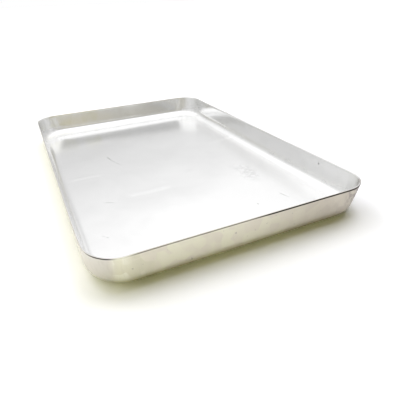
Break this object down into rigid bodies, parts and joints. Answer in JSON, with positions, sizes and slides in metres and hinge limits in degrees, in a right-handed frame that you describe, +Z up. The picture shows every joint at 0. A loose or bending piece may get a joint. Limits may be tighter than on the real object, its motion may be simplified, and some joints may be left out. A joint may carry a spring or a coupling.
{
  "type": "aluminium baking tray",
  "caption": "Shallow rectangular baking tray drawn from one sheet of aluminium, with round corners, a generous base bend and a plain cut rim.",
  "frame": {"origin": "on the table, under the middle of the tray's base", "axes": "+X along the long side, +Y along the short side, +Z up out of the tray's mouth"},
  "size_m": [0.356, 0.229, 0.027],
  "materials": {
    "aluminium": "satin"
  },
  "bodies": {
    "root": {"tray": "aluminium"}
  },
  "joints": []
}
